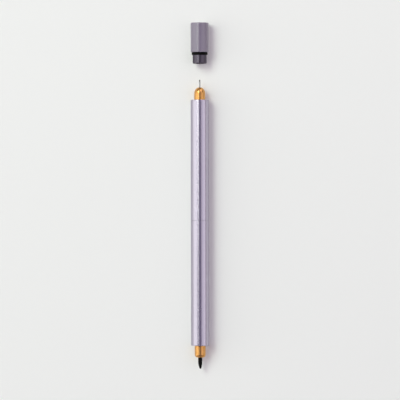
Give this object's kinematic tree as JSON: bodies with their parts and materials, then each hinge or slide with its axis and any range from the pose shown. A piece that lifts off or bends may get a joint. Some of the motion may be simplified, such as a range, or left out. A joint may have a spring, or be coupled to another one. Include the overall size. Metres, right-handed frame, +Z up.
{
  "type": "technical pen",
  "caption": "Double-ended refillable technical pen: anodised barrel halves, brass noses with a fine fibre tip and a brush nib, and a plug-in cap with a sealing ring, lying open in line.",
  "frame": {"origin": "on the table plane under the pen's axis, half way along the whole row of pen and cap", "axes": "+Y along the pen's axis from the brush nib to the cap, +Z up from the table, +X across the pen"},
  "size_m": [0.009, 0.172, 0.009],
  "materials": {
    "barrel_anodised": "satin lilac anodised, fine lengthwise sheen",
    "cap_anodised": "matt bead-blasted lavender grey anodised",
    "spigot_gunmetal": "dark gunmetal anodised, turned",
    "nose_brass": "polished with fine turning lines",
    "joiner_metal": "plain machined",
    "sleeve_steel": "drawn bright",
    "spring_steel": "drawn wire",
    "black_rubber": "matt",
    "grey_plastic": "moulded",
    "clear_plastic": "translucent natural",
    "ink_black_fibre": "bonded fibre soaked with black ink",
    "ink_soaked_wadding": "soft wadding soaked with black ink"
  },
  "bodies": {
    "lower_barrel": {"lower_barrel": "barrel_anodised", "barrel_joiner": "joiner_metal", "barrel_gasket": "black_rubber", "brush_ink_tube": "clear_plastic", "brush_ink_core": "ink_soaked_wadding", "brush_ink_plug": "grey_plastic", "cartridge_spring": "spring_steel"},
    "fineliner_cartridge": {"fineliner_ink_tube": "clear_plastic", "fineliner_ink_core": "ink_soaked_wadding", "fineliner_ink_plug": "grey_plastic"},
    "upper_barrel": {"upper_barrel": "barrel_anodised"},
    "fineliner_unit": {"fineliner_nose": "nose_brass", "fineliner_nose_o_ring": "black_rubber", "fineliner_nib_holder": "grey_plastic", "fineliner_sleeve": "sleeve_steel", "fineliner_tip": "ink_black_fibre", "fineliner_feed_wick": "ink_black_fibre"},
    "brush_unit": {"brush_nose": "nose_brass", "brush_nose_o_ring": "black_rubber", "brush_nib_holder": "grey_plastic", "brush_nib": "ink_black_fibre"},
    "cap": {"cap_shell": "cap_anodised", "cap_spigot": "spigot_gunmetal", "cap_o_ring": "black_rubber"}
  },
  "joints": [
    {"name": "barrel_open", "type": "slide", "parent": "lower_barrel", "child": "fineliner_cartridge", "axis": [0, 1, 0], "range_m": [0, 0.00525]},
    {"name": "barrel_turn", "type": "hinge", "parent": "fineliner_cartridge", "child": "upper_barrel", "pos_m": [0, 0, 0.0045], "axis": [0, 1, 0], "range_deg": [0, 2520]},
    {"name": "fineliner_pull", "type": "slide", "parent": "upper_barrel", "child": "fineliner_unit", "axis": [0, 1, 0], "range_m": [0, 0.0175]},
    {"name": "cap_slide", "type": "slide", "parent": "fineliner_unit", "child": "cap", "axis": [0, -1, 0], "range_m": [0, 0.0236]},
    {"name": "brush_pull", "type": "slide", "parent": "lower_barrel", "child": "brush_unit", "axis": [0, -1, 0], "range_m": [0, 0.0175]}
  ],
  "couplings": [
    {"joint": "barrel_open", "follows": "barrel_turn", "m_per_rad": 0.00011937}
  ]
}
